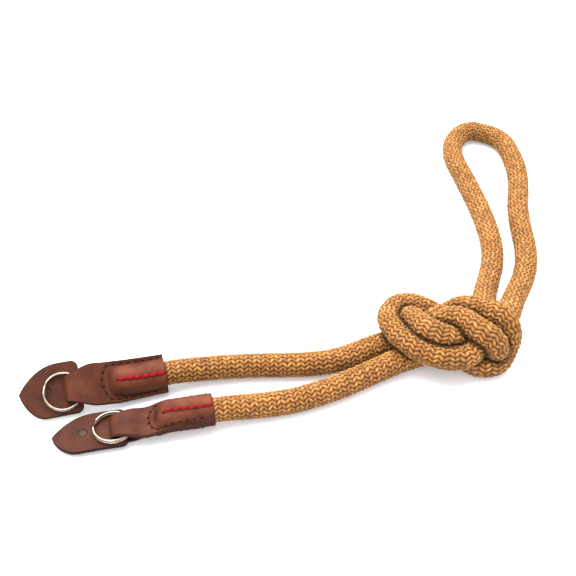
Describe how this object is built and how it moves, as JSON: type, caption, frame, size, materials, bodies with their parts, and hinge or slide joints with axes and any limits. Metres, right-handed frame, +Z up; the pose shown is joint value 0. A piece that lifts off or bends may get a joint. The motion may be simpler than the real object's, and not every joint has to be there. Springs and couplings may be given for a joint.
{
  "type": "camera neck strap",
  "caption": "Braided rope camera strap with a knot tied in the doubled rope, sewn leather ends, split rings and leather pads that guard the camera body.",
  "frame": {"origin": "on the table, under the middle of the lying strap", "axes": "+X from the leather ends towards the knot, +Y from the knot along the loop, +Z up from the table"},
  "size_m": [0.2318, 0.2296, 0.0265],
  "materials": {
    "rope": "golden tan braided cotton rope",
    "leather": "reddish brown leather, slightly waxed",
    "ring_metal": "polished nickelled steel wire",
    "pad_leather": "reddish brown leather with dark edges"
  },
  "bodies": {
    "strap": {"rope": "rope", "leather_end_a": "leather", "leather_end_b": "leather", "flap_a": "pad_leather", "flap_b": "pad_leather"},
    "ring_a": {"ring_a": "ring_metal"},
    "ring_b": {"ring_b": "ring_metal"}
  },
  "joints": [
    {"name": "ring_a_turn", "type": "hinge", "parent": "strap", "child": "ring_a", "pos_m": [-0.09785, -0.08796, 0.00817], "axis": [0.1336, -0.5128, 0.848], "continuous": true},
    {"name": "ring_b_turn", "type": "hinge", "parent": "strap", "child": "ring_b", "pos_m": [-0.07631, -0.10342, 0.00445], "axis": [0, 0, 1], "continuous": true}
  ]
}
